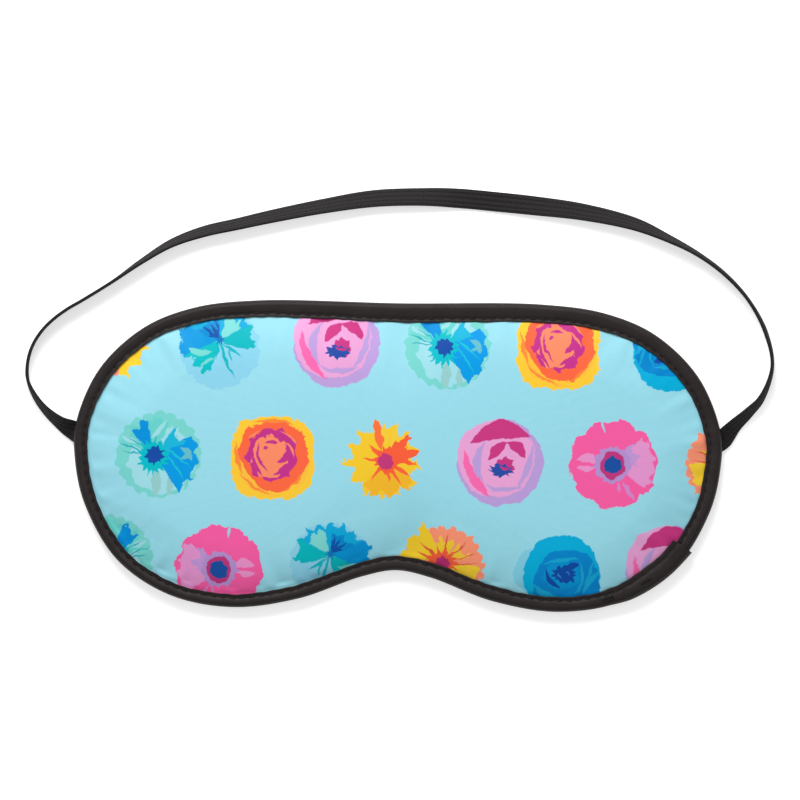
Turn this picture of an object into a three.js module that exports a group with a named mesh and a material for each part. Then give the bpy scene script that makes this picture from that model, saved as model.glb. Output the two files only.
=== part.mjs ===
// A padded sleep mask with a bound edge and an elastic head strap.
//
// Millimetres, +Z up. The mask lies on its back lining with the printed face up and the
// nose notch towards -Y. The origin is on the surface it lies on, under the middle of the
// mask's outline. The strap lies on the same surface, in a loop past the brow edge.

import * as THREE from 'three';

// ---- Driving dimensions ----

const MASK_WIDTH = 190;
const MASK_HEIGHT = 90;
const NOSE_RISE = 11.5; // how far the nose notch rises above the lowest points of the lobes

const LINING_THICKNESS = 0.35;
const BLACKOUT_THICKNESS = 0.25;
const FOAM_THICKNESS = 5;
const FOAM_PRESSED = 0.4; // what the binding squeezes the foam down to
const PRINT_THICKNESS = 0.3;
const PLY_GAP = 0.1; // clearance between one ply and the next
const EDGE_LIFT = 2.8; // height of the lining's edge above the surface the mask lies on
const SHOULDER = 10; // width of the rounded shoulder between the binding and the flat middle

const BINDING_WIDTH = 5.6; // from the fold to the free edge of each leg
const BINDING_THICKNESS = 0.5;
const FOLD_CLEARANCE = 0.1; // from the plies' cut edges to where the binding starts to curve

const LAP_THICKNESS = 0.45;
const LAP_DISTANCE = 61.5; // along the edge from the middle of the nose notch to the lap
const LAP_LENGTH = 32;

const THREAD = 0.35; // diameter of the sewing thread
const THREAD_GAP = 0.05;
const SEAM_INSET = 4.6; // the seam's distance from the binding's fold
const TACK_PITCH = 0.8; // spacing of the strokes of a bartack or backtack

const STRAP_WIDTH = 5.6;
const STRAP_THICKNESS = 1;
const STRAP_CLEARANCE = 0.05; // from the lowest edge of the strap to the surface it lies on
const STRAP_JOINT = 0.3; // gap between one length of the strap and the next
const STUB_SLOPE = 34; // degrees that the sewn end slopes down towards the nose
const EXIT_HEIGHT = 1.1; // middle of the strap's thickness where it leaves the mask
const EXIT_Y = 6;

const OUTLINE_STEPS = 72;

// ---- Colours and finishes ----

const finish = (color, roughness) => new THREE.MeshStandardMaterial({ color, roughness, metalness: 0 });
const printedSatin = finish(0xa0deec, 0.45);
const liningSatin = finish(0x2b2729, 0.55);
const blackoutCloth = finish(0x1c1c1e, 0.9);
const paddingFoam = finish(0xe9e4d6, 0.95);
const bindingSatin = finish(0x302b2b, 0.5);
const sewingThread = finish(0x1a1718, 0.6);
const knittedElastic = finish(0x28282a, 0.8);

// ---- Solids from rings of points ----

// Triangulates the flat area inside a ring, as index triples into that ring.
function flatCap(ring) {
  const normal = new THREE.Vector3();
  ring.forEach((point, i) => {
    normal.add(new THREE.Vector3().crossVectors(point, ring[(i + 1) % ring.length]));
  });
  const across = new THREE.Vector3().subVectors(ring[1], ring[0]).normalize();
  const up = new THREE.Vector3().crossVectors(normal.normalize(), across);
  const contour = ring.map((point) => new THREE.Vector2(point.dot(across), point.dot(up)));
  return THREE.ShapeUtils.triangulateShape(contour, []);
}

// Six times the volume that indexed triangles enclose, negative where they face inwards.
function signedVolume(points, faces) {
  const cross = new THREE.Vector3();
  return faces.reduce((sum, [a, b, c]) => sum + points[a].dot(cross.crossVectors(points[b], points[c])), 0);
}

// One closed body through a row of rings with equal numbers of points. Neighbouring rings
// are bridged; the last is bridged to the first if joined, or else both ends are capped.
function solidFromRings(rings, joined) {
  const count = rings[0].length;
  const points = rings.flat();
  const faces = [];
  const bridges = joined ? rings.length : rings.length - 1;
  for (let i = 0; i < bridges; i += 1) {
    const here = i * count;
    const next = ((i + 1) % rings.length) * count;
    for (let j = 0; j < count; j += 1) {
      const k = (j + 1) % count;
      faces.push([here + j, here + k, next + k], [here + j, next + k, next + j]);
    }
  }
  if (!joined) {
    const last = (rings.length - 1) * count;
    flatCap(rings[0]).forEach(([a, b, c]) => faces.push([c, b, a]));
    flatCap(rings[rings.length - 1]).forEach(([a, b, c]) => faces.push([last + a, last + b, last + c]));
  }
  const outward = signedVolume(points, faces) > 0;
  const geometry = new THREE.BufferGeometry().setFromPoints(points);
  geometry.setIndex(faces.flatMap(([a, b, c]) => (outward ? [a, b, c] : [a, c, b])));
  geometry.computeVertexNormals();
  return geometry;
}

const assembly = new THREE.Group();

function addPiece(name, geometry, material) {
  const mesh = new THREE.Mesh(geometry, material);
  mesh.name = name;
  assembly.add(mesh);
}

// ---- Outline of the mask ----

// Right half of the outline from the nose notch to the middle of the brow, as shares of the
// half width and half height; the third number is the share of the nose rise at that point.
const HALF_OUTLINE = [
  [0, -1, 1],
  [0.105, -1, 0.83],
  [0.3, -1, 0.245],
  [0.505, -1, 0],
  [0.7, -0.925, 0],
  [0.863, -0.7, 0],
  [0.966, -0.335, 0],
  [0.997, -0.045, 0],
  [0.996, 0.175, 0],
  [0.926, 0.535, 0],
  [0.79, 0.81, 0],
  [0.635, 0.945, 0],
  [0.44, 0.998, 0],
  [0, 0.993, 0],
];

const rightHalf = HALF_OUTLINE.map(([x, y, notch]) => new THREE.Vector3(
  x * MASK_WIDTH / 2,
  y * MASK_HEIGHT / 2 + notch * NOSE_RISE,
  0,
));
const leftHalf = rightHalf.slice(1, -1).reverse().map((point) => new THREE.Vector3(-point.x, point.y, 0));
const outline = new THREE.CatmullRomCurve3([...rightHalf, ...leftHalf], true, 'centripetal');
outline.arcLengthDivisions = 800;
const EDGE_LENGTH = outline.getLength();

// Height of the outline's middle, so that the origin can lie under it.
const edgeHeights = outline.getSpacedPoints(400).map((point) => point.y);
const MIDDLE_Y = (Math.max(...edgeHeights) + Math.min(...edgeHeights)) / 2;

// A place on the mask's edge: u runs from 0 to 1 anticlockwise from the nose notch, and
// inset is measured inwards, square to the edge.
function edgePoint(u, inset, z) {
  const wrapped = ((u % 1) + 1) % 1;
  const point = outline.getPointAt(wrapped);
  const along = outline.getTangentAt(wrapped);
  return new THREE.Vector3(point.x - along.y * inset, point.y + along.x * inset - MIDDLE_Y, z);
}

// Carries a profile of [inset, height] pairs round the edge, from one place to another.
function ringsAlongEdge(profile, from, to, steps, closed) {
  const stations = closed ? steps : steps + 1;
  return Array.from({ length: stations }, (_, i) => {
    const u = from + (to - from) * i / steps;
    return profile(u).map(([inset, z]) => edgePoint(u, inset, z));
  });
}

// ---- Plies: lining, blackout cloth, foam and printed front ----

const PLIES = [
  ['back_lining', LINING_THICKNESS, LINING_THICKNESS, liningSatin],
  ['blackout_layer', BLACKOUT_THICKNESS, BLACKOUT_THICKNESS, blackoutCloth],
  ['foam_pad', FOAM_PRESSED, FOAM_THICKNESS, paddingFoam],
  ['printed_front', PRINT_THICKNESS, PRINT_THICKNESS, printedSatin],
];

// Lower and upper heights of each ply, at the edge and in the middle, from the back up.
const stack = { edge: EDGE_LIFT, middle: 0 };
const plyLevels = PLIES.map(([, atEdge, inMiddle]) => {
  const low = { ...stack };
  const high = { edge: low.edge + atEdge, middle: low.middle + inMiddle };
  stack.edge = high.edge + PLY_GAP;
  stack.middle = high.middle + PLY_GAP;
  return { low, high };
});

const SLOT_BOTTOM = EDGE_LIFT - PLY_GAP;
const SLOT_TOP = stack.edge;
const BINDING_BOTTOM = SLOT_BOTTOM - BINDING_THICKNESS;
const BINDING_TOP = SLOT_TOP + BINDING_THICKNESS;
const FOLD_RADIUS = (BINDING_TOP - BINDING_BOTTOM) / 2;
const FOLD_MIDDLE = (BINDING_TOP + BINDING_BOTTOM) / 2;

// The plies are flat under the binding, then swell over the shoulder to the flat middle.
const PLY_EDGE = FOLD_RADIUS + FOLD_CLEARANCE;
const SHOULDER_EDGE = BINDING_WIDTH + 0.4;
const SHOULDER_STOPS = [0, 0.2, 0.55, 1];
const plyInsets = [PLY_EDGE, ...SHOULDER_STOPS.map((share) => SHOULDER_EDGE + share * SHOULDER)];

// Share of the swell at an inset: none under the binding, all of it past the shoulder.
function swell(inset) {
  const run = THREE.MathUtils.clamp((inset - SHOULDER_EDGE) / SHOULDER, 0, 1);
  return Math.sin(run * Math.PI / 2);
}

// One ply between its lower and upper heights.
function plySolid({ low, high }) {
  const ringAt = (inset, level) => {
    const z = THREE.MathUtils.lerp(level.edge, level.middle, swell(inset));
    return Array.from({ length: OUTLINE_STEPS }, (_, i) => edgePoint(i / OUTLINE_STEPS, inset, z));
  };
  const top = [...plyInsets].reverse().map((inset) => ringAt(inset, high));
  const bottom = plyInsets.map((inset) => ringAt(inset, low));
  return solidFromRings([...top, ...bottom], false);
}

PLIES.forEach(([name, , , material], i) => addPiece(name, plySolid(plyLevels[i]), material));

// ---- Binding, folded round the edge ----

// A U-shaped section that opens inwards. It follows the binding's fold at a distance: 0 for
// the binding itself, and more for what is folded over it.
function foldedSection(distance, thickness) {
  const arc = (radius) => Array.from({ length: 5 }, (_, i) => {
    const angle = (i / 4 - 0.5) * Math.PI;
    return [FOLD_RADIUS - radius * Math.cos(angle), FOLD_MIDDLE + radius * Math.sin(angle)];
  });
  const outside = arc(FOLD_RADIUS + distance);
  const inside = arc(FOLD_RADIUS + distance - thickness).reverse();
  const withLegs = (points) => [
    [BINDING_WIDTH, points[0][1]],
    ...points,
    [BINDING_WIDTH, points[points.length - 1][1]],
  ];
  return [...withLegs(outside), ...withLegs(inside)];
}

const bindingSection = foldedSection(0, BINDING_THICKNESS);
const bindingRings = ringsAlongEdge(() => bindingSection, 0, 1, OUTLINE_STEPS, true);
addPiece('binding_tape', solidFromRings(bindingRings, true), bindingSatin);

// The end of the binding strip, which laps over its start at the lower right.
const LAP_FROM = LAP_DISTANCE / EDGE_LENGTH;
const LAP_TO = (LAP_DISTANCE + LAP_LENGTH) / EDGE_LENGTH;
const LAP_RISE = LAP_THICKNESS + PLY_GAP;
const LAP_STEPS = 10;
const lapSection = foldedSection(LAP_RISE, LAP_THICKNESS);
const lapRings = ringsAlongEdge(() => lapSection, LAP_FROM, LAP_TO, LAP_STEPS, false);
addPiece('binding_lap', solidFromRings(lapRings, false), bindingSatin);

// ---- Seam and tacks ----

// Section of a thread: a hexagon of [across, up] pairs round its centre.
const threadSection = Array.from({ length: 6 }, (_, i) => {
  const angle = (i + 0.5) * Math.PI / 3;
  return [Math.cos(angle) * THREAD / 2, Math.sin(angle) * THREAD / 2];
});

// Share of the lap's rise at a place on the edge: the seam climbs on to the lap just before
// it and comes down just after it.
function lapShare(u) {
  const step = 1 / OUTLINE_STEPS;
  const outside = Math.max(LAP_FROM - step - u, u - LAP_TO - step, 0);
  return THREE.MathUtils.clamp(1 - outside / step, 0, 1);
}

// The seam's thread on one face of the binding: side is +1 on the front, -1 on the back.
function seamThread(face, side) {
  const stand = THREAD_GAP + THREAD / 2;
  const profile = (u) => threadSection.map(([across, up]) => [
    SEAM_INSET + across,
    face + side * (stand + lapShare(u) * LAP_RISE) + up,
  ]);
  return solidFromRings(ringsAlongEdge(profile, 0, 1, OUTLINE_STEPS, true), true);
}

addPiece('seam_needle_thread', seamThread(BINDING_TOP, 1), sewingThread);
addPiece('seam_bobbin_thread', seamThread(BINDING_BOTTOM, -1), sewingThread);

// A thread laid to and fro in parallel strokes. Origin is the middle of the tack, stroke the
// direction of its strokes and advance the direction in which they follow each other.
function tackThread(origin, stroke, advance, strokeLength, strokes) {
  const turn = TACK_PITCH / 2;
  const reach = strokeLength / 2 - turn;
  const path = [];
  for (let i = 0; i < strokes; i += 1) {
    const side = i % 2 === 0 ? 1 : -1;
    const offset = (i - (strokes - 1) / 2) * TACK_PITCH;
    path.push([-side * reach, offset], [side * reach, offset]);
    if (i < strokes - 1) {
      for (let k = 1; k < 4; k += 1) {
        const angle = k * Math.PI / 4;
        path.push([side * (reach + turn * Math.sin(angle)), offset + turn * (1 - Math.cos(angle))]);
      }
    }
  }
  const centres = path.map(([s, a]) => (
    origin.clone().addScaledVector(stroke, s).addScaledVector(advance, a)
  ));
  const rings = centres.map((centre, i) => {
    const before = centres[Math.max(i - 1, 0)];
    const after = centres[Math.min(i + 1, centres.length - 1)];
    const along = new THREE.Vector3().subVectors(after, before).normalize();
    const sideways = new THREE.Vector3(-along.y, along.x, 0);
    return threadSection.map(([across, up]) => (
      new THREE.Vector3(0, 0, up).addScaledVector(sideways, across).add(centre)
    ));
  });
  return solidFromRings(rings, false);
}

// Two backtacks hold down the lap, between its fold and the seam.
const TACK_STROKES = 5;
const BACKTACK_INSET = 2.4;
const BACKTACK_STROKE = 2.4;
const backtackHeight = BINDING_TOP + LAP_RISE + THREAD_GAP + THREAD / 2;
[['backtack_inner', 0.1], ['backtack_middle', 0.5]].forEach(([name, share]) => {
  const u = THREE.MathUtils.lerp(LAP_FROM, LAP_TO, share);
  const origin = edgePoint(u, BACKTACK_INSET, backtackHeight);
  const inwards = edgePoint(u, BACKTACK_INSET + 1, backtackHeight).sub(origin);
  const along = new THREE.Vector3(inwards.y, -inwards.x, 0);
  addPiece(name, tackThread(origin, inwards, along, BACKTACK_STROKE, TACK_STROKES), sewingThread);
});

// ---- Strap ----

// The strap's route from the left exit over the crown to the right exit: x, y and the roll in
// degrees, 0 where the strap lies flat and 90 where it stands on its outer edge.
const STRAP_ROUTE = [
  [-95.3, 6, 12],
  [-98.6, 8.2, 50],
  [-103.1, 12, 74],
  [-106.5, 16, 84],
  [-108.5, 20.5, 90],
  [-108.8, 25.8, 90],
  [-107.5, 30.5, 90],
  [-105, 34.8, 90],
  [-101.8, 38.3, 90],
  [-97.7, 41.4, 90],
  [-93.2, 44.2, 90],
  [-84.2, 49.8, 90],
  [-76, 55.8, 84],
  [-67.4, 61.2, 75],
  [-58, 64.7, 68],
  [-48, 67.2, 65],
  [-38, 69.5, 62],
  [-23, 72.8, 56],
  [-8, 75.3, 46],
  [7.5, 75.9, 36],
  [18, 75.6, 18],
  [28, 74.8, 14],
  [38, 73.9, 30],
  [53.5, 72.2, 47],
  [68.5, 68.8, 61],
  [78, 65, 76],
  [87, 60.3, 85],
  [95, 54.4, 88],
  [102, 46.8, 90],
  [107, 37.6, 90],
  [109, 28, 90],
  [106, 18.5, 80],
  [102.5, 14.2, 68],
  [98.7, 10, 50],
  [95.3, 6, 12],
];
const LEFT_SPLIT = 11; // point where the left run meets the crown
const RIGHT_SPLIT = 27; // point where the crown meets the right run
const STEPS_PER_POINT = 2;

const strapCurve = new THREE.CatmullRomCurve3(
  STRAP_ROUTE.map(([x, y]) => new THREE.Vector3(x, y, 0)),
  false,
  'centripetal',
);

// Section of the strap: a flat bar with bevelled edges, as [width, thickness] offsets.
const STRAP_BEVEL = 0.3;
const strapSection = [
  [-1, -1], [1, -1], [1, 1], [-1, 1],
].flatMap(([w, t], i) => {
  const width = w * STRAP_WIDTH / 2;
  const thickness = t * STRAP_THICKNESS / 2;
  const onFace = [width - w * STRAP_BEVEL, thickness];
  const onEdge = [width, thickness - t * STRAP_BEVEL];
  return i % 2 === 0 ? [onEdge, onFace] : [onFace, onEdge];
});

// Ring of the strap's section at a centre, for a direction of travel and a roll in degrees.
function strapRing(centre, along, roll) {
  const angle = THREE.MathUtils.degToRad(roll);
  const outward = new THREE.Vector3(-along.y, along.x, 0);
  const up = new THREE.Vector3(0, 0, 1);
  const widthAxis = outward.clone().multiplyScalar(Math.cos(angle)).addScaledVector(up, -Math.sin(angle));
  const faceAxis = outward.clone().multiplyScalar(Math.sin(angle)).addScaledVector(up, Math.cos(angle));
  return strapSection.map(([w, t]) => (
    centre.clone().addScaledVector(widthAxis, w).addScaledVector(faceAxis, t)
  ));
}

// Slides a ring's points along the strap until they lie in one plane across X.
function trimToX(ring, along, x) {
  return ring.map((point) => point.clone().addScaledVector(along, (x - point.x) / along.x));
}

// Ring at a place on the route, counted in points; the strap rests on its lowest edge.
function routeRing(place) {
  const last = STRAP_ROUTE.length - 1;
  const index = Math.min(Math.floor(place), last - 1);
  const roll = THREE.MathUtils.lerp(STRAP_ROUTE[index][2], STRAP_ROUTE[index + 1][2], place - index);
  const angle = THREE.MathUtils.degToRad(roll);
  const centre = strapCurve.getPoint(place / last);
  centre.z = (STRAP_WIDTH * Math.sin(angle) + STRAP_THICKNESS * Math.cos(angle)) / 2 + STRAP_CLEARANCE;
  const along = strapCurve.getTangent(place / last).setZ(0).normalize();
  const ring = strapRing(centre, along, roll);
  return place === 0 || place === last ? trimToX(ring, along, STRAP_ROUTE[place][0]) : ring;
}

// A length of the strap between two of the route's points, short of each inner split by
// half of the gap between lengths.
function strapLength(from, to) {
  const gapShare = (index) => {
    const before = STRAP_ROUTE[index - 1];
    const after = STRAP_ROUTE[index + 1];
    return before && after ? STRAP_JOINT / Math.hypot(after[0] - before[0], after[1] - before[1]) : 0;
  };
  const steps = (to - from) * STEPS_PER_POINT;
  const places = Array.from({ length: steps + 1 }, (_, i) => from + i / STEPS_PER_POINT);
  places[0] = from + gapShare(from);
  places[steps] = to - gapShare(to);
  return solidFromRings(places.map(routeRing), false);
}

addPiece('strap_left_run', strapLength(0, LEFT_SPLIT), knittedElastic);
addPiece('strap_crown', strapLength(LEFT_SPLIT, RIGHT_SPLIT), knittedElastic);
addPiece('strap_right_run', strapLength(RIGHT_SPLIT, STRAP_ROUTE.length - 1), knittedElastic);

// ---- Sewn ends of the strap, under the back of the binding ----

const BARTACK_DISTANCE = 3.4; // from the mask's edge to the middle of the bartack
const BARTACK_MARGIN = 0.5; // from the ends of its strokes to the strap's edges

// A sewn end reaches from the mask's edge to the free edge of the binding's leg.
const slope = THREE.MathUtils.degToRad(STUB_SLOPE);
const STUB_LENGTH = BINDING_WIDTH / Math.cos(slope);

[['left', -1], ['right', 1]].forEach(([name, side]) => {
  const exit = new THREE.Vector3(side * MASK_WIDTH / 2, EXIT_Y, EXIT_HEIGHT);
  const inwards = new THREE.Vector3(-side * Math.cos(slope), -Math.sin(slope), 0);
  const innerEnd = exit.clone().addScaledVector(inwards, STUB_LENGTH);
  const rings = [trimToX(strapRing(exit, inwards, 0), inwards, exit.x), strapRing(innerEnd, inwards, 0)];
  addPiece(`strap_end_${name}`, solidFromRings(rings, false), knittedElastic);

  const across = new THREE.Vector3(-inwards.y, inwards.x, 0);
  const tackCentre = exit.clone().addScaledVector(inwards, BARTACK_DISTANCE);
  tackCentre.z -= STRAP_THICKNESS / 2 + THREAD_GAP + THREAD / 2;
  const tackWidth = STRAP_WIDTH - 2 * BARTACK_MARGIN;
  const tack = tackThread(tackCentre, across, inwards, tackWidth, TACK_STROKES);
  addPiece(`strap_bartack_${name}`, tack, sewingThread);
});

export default assembly;
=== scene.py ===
import math

import bpy
import numpy as np
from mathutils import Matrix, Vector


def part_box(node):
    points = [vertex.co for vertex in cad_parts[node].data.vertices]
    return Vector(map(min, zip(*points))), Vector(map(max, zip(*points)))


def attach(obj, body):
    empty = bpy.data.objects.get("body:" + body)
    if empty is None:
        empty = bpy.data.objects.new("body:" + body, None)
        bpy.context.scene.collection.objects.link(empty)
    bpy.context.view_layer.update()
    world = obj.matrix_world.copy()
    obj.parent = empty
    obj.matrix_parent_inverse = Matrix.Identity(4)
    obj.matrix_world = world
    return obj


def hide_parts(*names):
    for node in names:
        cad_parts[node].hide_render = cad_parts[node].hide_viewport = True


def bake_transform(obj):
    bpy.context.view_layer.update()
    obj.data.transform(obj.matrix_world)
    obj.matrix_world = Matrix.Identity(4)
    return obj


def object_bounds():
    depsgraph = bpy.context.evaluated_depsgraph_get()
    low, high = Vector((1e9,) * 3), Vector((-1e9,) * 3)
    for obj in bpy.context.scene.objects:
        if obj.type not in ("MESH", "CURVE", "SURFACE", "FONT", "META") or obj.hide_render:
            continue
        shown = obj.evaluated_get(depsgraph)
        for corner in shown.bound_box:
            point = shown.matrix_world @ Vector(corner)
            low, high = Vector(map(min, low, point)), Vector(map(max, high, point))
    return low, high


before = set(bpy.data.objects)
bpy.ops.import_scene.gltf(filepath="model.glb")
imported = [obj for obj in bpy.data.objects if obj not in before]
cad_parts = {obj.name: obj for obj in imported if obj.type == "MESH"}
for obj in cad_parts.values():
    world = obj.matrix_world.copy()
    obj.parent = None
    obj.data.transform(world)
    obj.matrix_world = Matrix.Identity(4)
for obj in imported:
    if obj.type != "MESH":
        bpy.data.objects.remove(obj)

MM = 0.001
cad_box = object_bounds()
mask_low, mask_high = (np.array(corner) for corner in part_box("binding_tape"))

# ---------------------------------------------------------------------------------------
# Camera, straight above the mask. It is turned by a little less than a degree, and stands
# so far off that perspective hardly shows.
# ---------------------------------------------------------------------------------------

CAMERA_LENS = 200.0
CAMERA_SENSOR = 36.0
PICTURE_WIDTH = 0.2342
PICTURE_MIDDLE = (0.0004, 0.0163)
CAMERA_TURN = math.radians(0.845)

camera_data = bpy.data.cameras.new("camera")
camera_data.lens = CAMERA_LENS
camera_data.sensor_width = CAMERA_SENSOR
camera_data.clip_start = 0.01
camera = bpy.data.objects.new("camera", camera_data)
camera.location = (*PICTURE_MIDDLE, mask_high[2] + PICTURE_WIDTH * CAMERA_LENS / CAMERA_SENSOR)
camera.rotation_euler = (0, 0, CAMERA_TURN)
bpy.context.scene.collection.objects.link(camera)
bpy.context.scene.camera = camera
bpy.context.scene.view_settings.view_transform = "Standard"

# ---------------------------------------------------------------------------------------
# Elastic strap: one length of flat knitted elastic, 5.8 mm wide and 1 mm thick, sewn under
# the back of the binding at both ends. It lies in a loop, flat at its ends, on its outer
# edge at the sides, and leaning over at the crown.
# ---------------------------------------------------------------------------------------

STRAP_WIDTH = 0.0058
STRAP_THICKNESS = 0.001
STRAP_RIBS = 6
STRAP_RIB_DEPTH = 0.16
STRAP_EDGE_STITCH = 0.0009
STRAP_EDGE_SWELL = 0.012
STRAP_LOOP = 0.00062
STRAP_CLEARANCE = 0.00005
STRAP_STATIONS = 760
STRAP_SECTION_POINTS = 60
EXIT_HEIGHT = 0.0011
STUB_LENGTH = 0.0072
STUB_SLOPE = math.radians(34)
HINGE_RUN = 0.003

# x, y in metres and roll in degrees: 0 lies flat, 90 stands on its outer edge.
STRAP_ROUTE = [
    (-0.0953, 0.0060, 12), (-0.0988, 0.0079, 48), (-0.1033, 0.0116, 67), (-0.1066, 0.0158, 76),
    (-0.1088, 0.0206, 86), (-0.1089, 0.0259, 86), (-0.1076, 0.0306, 86), (-0.1051, 0.0348, 86),
    (-0.1018, 0.0383, 86), (-0.0976, 0.0415, 87), (-0.0931, 0.0442, 87), (-0.0842, 0.0499, 86),
    (-0.0760, 0.0558, 77), (-0.0674, 0.0612, 67), (-0.0580, 0.0648, 58), (-0.0480, 0.0672, 55),
    (-0.0380, 0.0696, 50), (-0.0230, 0.0728, 43), (-0.0080, 0.0753, 31), (0.0075, 0.0760, 24),
    (0.0180, 0.0757, 4), (0.0280, 0.0749, 2), (0.0380, 0.0740, 12), (0.0535, 0.0722, 32),
    (0.0685, 0.0689, 50), (0.0780, 0.0650, 67), (0.0870, 0.0604, 78), (0.0952, 0.0545, 81),
    (0.1022, 0.0470, 83), (0.1073, 0.0378, 80), (0.1094, 0.0278, 83), (0.1064, 0.0184, 71),
    (0.1027, 0.0141, 60), (0.0986, 0.0101, 45), (0.0953, 0.0060, 12),
]


def smooth_line(points, closed, per_span):
    """Centripetal Catmull-Rom curve through rows of numbers whose first two are x and y.
    Each span is a cubic whose end slopes weigh the neighbouring chords by the square root
    of their lengths."""
    points = np.asarray(points, float)
    if closed:
        padded = np.concatenate([points[-1:], points, points[:2]])
    else:
        first, last = 2 * points[:1] - points[1:2], 2 * points[-1:] - points[-2:-1]
        padded = np.concatenate([first, points, last])
    before, start, end, after = padded[:-3], padded[1:-2], padded[2:-1], padded[3:]
    root = [np.sqrt(np.linalg.norm((b - a)[:, :2], axis=1))[:, None]
            for a, b in ((before, start), (start, end), (end, after))]
    leave = (start - before) / root[0] - (end - before) / (root[0] + root[1]) + (end - start) / root[1]
    arrive = (end - start) / root[1] - (after - start) / (root[1] + root[2]) + (after - end) / root[2]
    leave, arrive = leave * root[1], arrive * root[1]
    t = (np.arange(per_span) / per_span)[None, :, None]
    start, end, leave, arrive = (a[:, None, :] for a in (start, end, leave, arrive))
    spans = (start + leave * t + (3 * (end - start) - 2 * leave - arrive) * t**2
             + (2 * (start - end) + leave + arrive) * t**3)
    line = spans.reshape(-1, points.shape[1])
    return line if closed else np.concatenate([line, points[-1:]])


def unit(vectors):
    """Each vector divided by its own length."""
    return vectors / np.linalg.norm(vectors, axis=-1, keepdims=True)


def along_line(line, stations):
    """A line of points sampled again at equal steps of its length in plan."""
    steps = np.linalg.norm(np.diff(line[:, :2], axis=0), axis=1)
    length = np.concatenate([[0], np.cumsum(steps)])
    at = np.linspace(0, length[-1], stations)
    return np.stack([np.interp(at, length, column) for column in line.T], 1), at


def grid_mesh(name, points, wrap_rows=False, wrap_columns=False, cap_rows=False, uv=None, tips=()):
    """Mesh on grids of points, copies by rows by columns by three. Rows or columns that
    wrap are joined last to first, a cap closes each end row with one face, and a tip
    closes the first (0) or last (-1) column onto one point. uv is the pattern's step from
    row to row and from column to column."""
    copies, rows, columns = points.shape[:3]
    row, column = np.arange(rows - (not wrap_rows)), np.arange(columns - (not wrap_columns))
    copy, i, j = (a.ravel() for a in np.meshgrid(np.arange(copies), row, column, indexing="ij"))
    i_next, j_next = (i + 1) % rows, (j + 1) % columns
    first = copy * rows * columns
    quads = np.stack([i * columns + j, i * columns + j_next,
                      i_next * columns + j_next, i_next * columns + j], 1)
    faces = (quads + first[:, None]).tolist()
    if cap_rows:
        ring = np.arange(columns)
        starts = (np.arange(copies) * rows * columns)[:, None]
        faces += (starts + ring[::-1]).tolist() + (starts + (rows - 1) * columns + ring).tolist()
    vertices = points.reshape(-1, 3)
    for column, tip in tips:
        ring = np.arange(rows) * columns + column % columns
        ends = (np.roll(ring, -1), ring) if column else (ring, np.roll(ring, -1))
        faces += np.stack([*ends, np.full(rows, len(vertices))], 1).tolist()
        vertices = np.concatenate([vertices, np.reshape(tip, (1, 3))])
    mesh = bpy.data.meshes.new(name)
    mesh.from_pydata(vertices.tolist(), [], faces)
    if uv is not None:
        corners = np.stack([np.stack([(i + di) * uv[0], (j + dj) * uv[1]], 1)
                            for di, dj in ((0, 0), (0, 1), (1, 1), (1, 0))], 1)
        values = np.zeros((len(mesh.loops), 2))
        values[: len(i) * 4] = corners.reshape(-1, 2)
        mesh.uv_layers.new(name="cloth").data.foreach_set("uv", values.ravel())
    mesh.polygons.foreach_set("use_smooth", np.ones(len(mesh.polygons), bool))
    mesh.update()
    return mesh


def facing_out(mesh):
    """Turns a closed mesh's faces round if its signed volume is negative."""
    mesh.calc_loop_triangles()
    corners = np.empty(len(mesh.loop_triangles) * 3, int)
    mesh.loop_triangles.foreach_get("vertices", corners)
    places = np.empty(len(mesh.vertices) * 3)
    mesh.vertices.foreach_get("co", places)
    a, b, c = places.reshape(-1, 3)[corners.reshape(-1, 3)].transpose(1, 0, 2)
    if np.einsum("ij,ij->i", a, np.cross(b, c)).sum() < 0:
        mesh.flip_normals()
    return mesh


def piece(name, mesh, finish, slot, body, *nodes):
    """A finished object that stands for CAD nodes, and rides on a body if one is given."""
    made = bpy.data.objects.new(name, mesh)
    bpy.context.scene.collection.objects.link(made)
    mesh.materials.append(finish)
    if body:
        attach(made, body)
    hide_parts(*nodes)
    return made


class Field:
    """A number that varies over a surface. Arithmetic on it adds Math nodes."""

    def __init__(self, wiring, socket):
        self.wiring, self.socket = wiring, socket

    def call(self, operation, *others, first=None):
        values = [self, *others] if first is None else [first, self]
        return self.wiring.node("ShaderNodeMath", {"operation": operation}, dict(enumerate(values)))

    def __add__(self, other):
        return self.call("ADD", other)

    def __sub__(self, other):
        return self.call("SUBTRACT", other)

    def __rsub__(self, other):
        return self.call("SUBTRACT", first=other)

    def __mul__(self, other):
        return self.call("MULTIPLY", other)

    def __truediv__(self, other):
        return self * (1 / other)

    def __pow__(self, other):
        return self.call("POWER", other)

    def __lt__(self, other):
        return self.call("LESS_THAN", other)

    def __abs__(self):
        return self.call("ABSOLUTE")

    __radd__ = __add__
    __rmul__ = __mul__

    def sin(self):
        return self.call("SINE")

    def cos(self):
        return self.call("COSINE")

    def clamped(self):
        return self.wiring.node("ShaderNodeClamp", {}, {0: self})


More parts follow.
